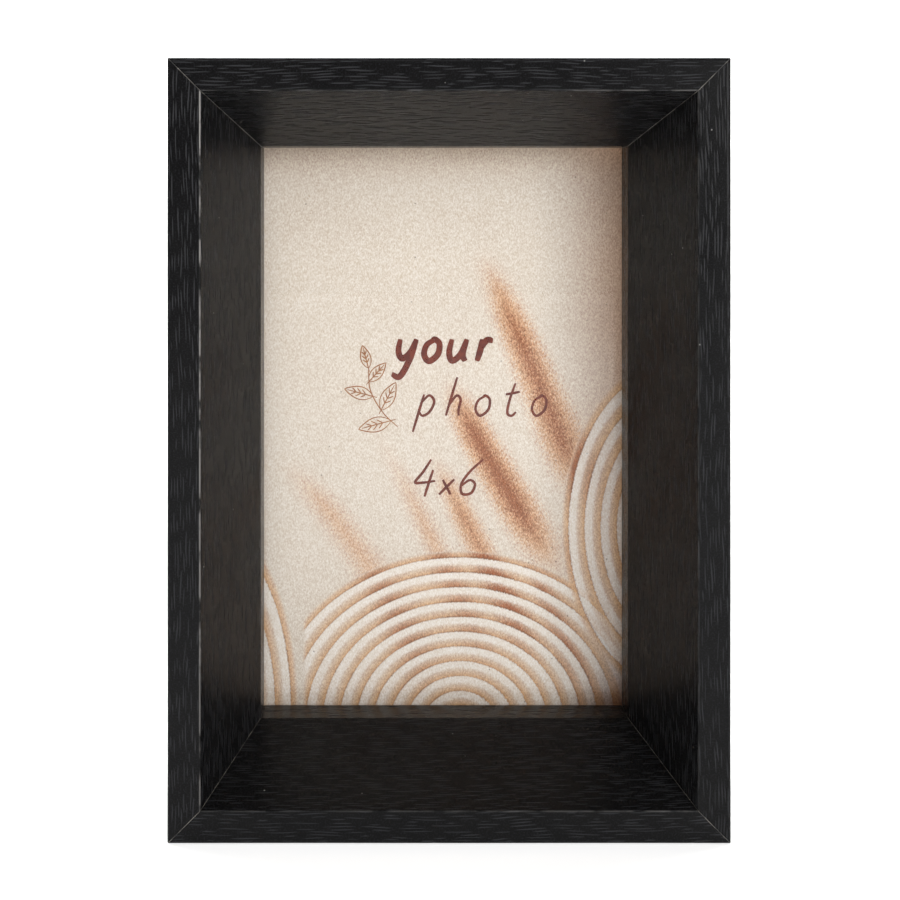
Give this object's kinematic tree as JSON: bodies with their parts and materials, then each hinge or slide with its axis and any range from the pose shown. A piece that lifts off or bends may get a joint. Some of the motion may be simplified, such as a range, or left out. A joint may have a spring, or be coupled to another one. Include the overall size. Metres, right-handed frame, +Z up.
{
  "type": "shadow box",
  "caption": "Deep black shadow box for an upright small print: mitred moulding whose inner walls slope in to the glass, with a card and a lift-out back behind the print.",
  "frame": {"origin": "middle of the bottom rail's underside, halfway between the front face and the back face", "axes": "+Z up along the upright picture, +Y from the front face to the back, +X to the viewer's right"},
  "size_m": [0.129, 0.0536, 0.1798],
  "materials": {
    "black_wood_foil": "satin black with open wood pores",
    "glass": "clear, polished",
    "print_paper": "printed photo paper, satin",
    "grey_card": "plain grey board, matte",
    "black_hardboard": "black faced hardboard, matte",
    "zinc_steel": "bright zinc plate",
    "wedge_steel": "plain spring steel"
  },
  "bodies": {
    "box": {"left_rail": "black_wood_foil", "right_rail": "black_wood_foil", "top_rail": "black_wood_foil", "bottom_rail": "black_wood_foil", "corner_wedge_bottom_left_outer": "wedge_steel", "corner_wedge_bottom_left_inner": "wedge_steel", "corner_wedge_bottom_right_outer": "wedge_steel", "corner_wedge_bottom_right_inner": "wedge_steel", "corner_wedge_top_right_outer": "wedge_steel", "corner_wedge_top_right_inner": "wedge_steel", "corner_wedge_top_left_outer": "wedge_steel", "corner_wedge_top_left_inner": "wedge_steel", "glass_pane": "glass", "button_screw_left_lower": "zinc_steel", "button_screw_left_upper": "zinc_steel", "button_screw_right_lower": "zinc_steel", "button_screw_right_upper": "zinc_steel"},
    "back": {"back_board": "black_hardboard", "filler_card": "grey_card", "picture_print": "print_paper", "hanger_plate_upright": "zinc_steel", "hanger_plate_sideways": "zinc_steel", "hanger_rivet_upright_lower": "zinc_steel", "hanger_rivet_upright_upper": "zinc_steel", "hanger_rivet_sideways_lower": "zinc_steel", "hanger_rivet_sideways_upper": "zinc_steel"},
    "button_left_lower": {"turn_button_left_lower": "zinc_steel"},
    "button_left_upper": {"turn_button_left_upper": "zinc_steel"},
    "button_right_lower": {"turn_button_right_lower": "zinc_steel"},
    "button_right_upper": {"turn_button_right_upper": "zinc_steel"},
    "ring_upright": {"hanger_ring_upright": "zinc_steel"},
    "ring_sideways": {"hanger_ring_sideways": "zinc_steel"}
  },
  "joints": [
    {"name": "button_left_lower_turn", "type": "hinge", "parent": "box", "child": "button_left_lower", "pos_m": [-0.05805, 0.025, 0.0449], "axis": [0, 1, 0], "continuous": true},
    {"name": "button_left_upper_turn", "type": "hinge", "parent": "box", "child": "button_left_upper", "pos_m": [-0.05805, 0.025, 0.1349], "axis": [0, 1, 0], "continuous": true},
    {"name": "button_right_lower_turn", "type": "hinge", "parent": "box", "child": "button_right_lower", "pos_m": [0.05805, 0.025, 0.0449], "axis": [0, 1, 0], "continuous": true},
    {"name": "button_right_upper_turn", "type": "hinge", "parent": "box", "child": "button_right_upper", "pos_m": [0.05805, 0.025, 0.1349], "axis": [0, 1, 0], "continuous": true},
    {"name": "back_lift_out", "type": "slide", "parent": "box", "child": "back", "axis": [0, 1, 0], "range_m": [0, 0.06]},
    {"name": "ring_upright_swing", "type": "hinge", "parent": "back", "child": "ring_upright", "pos_m": [0, 0.0268, 0.1425], "axis": [1, 0, 0], "range_deg": [0, 180]},
    {"name": "ring_sideways_swing", "type": "hinge", "parent": "back", "child": "ring_sideways", "pos_m": [-0.0272, 0.0268, 0.0899], "axis": [0, 0, 1], "range_deg": [0, 180]}
  ]
}
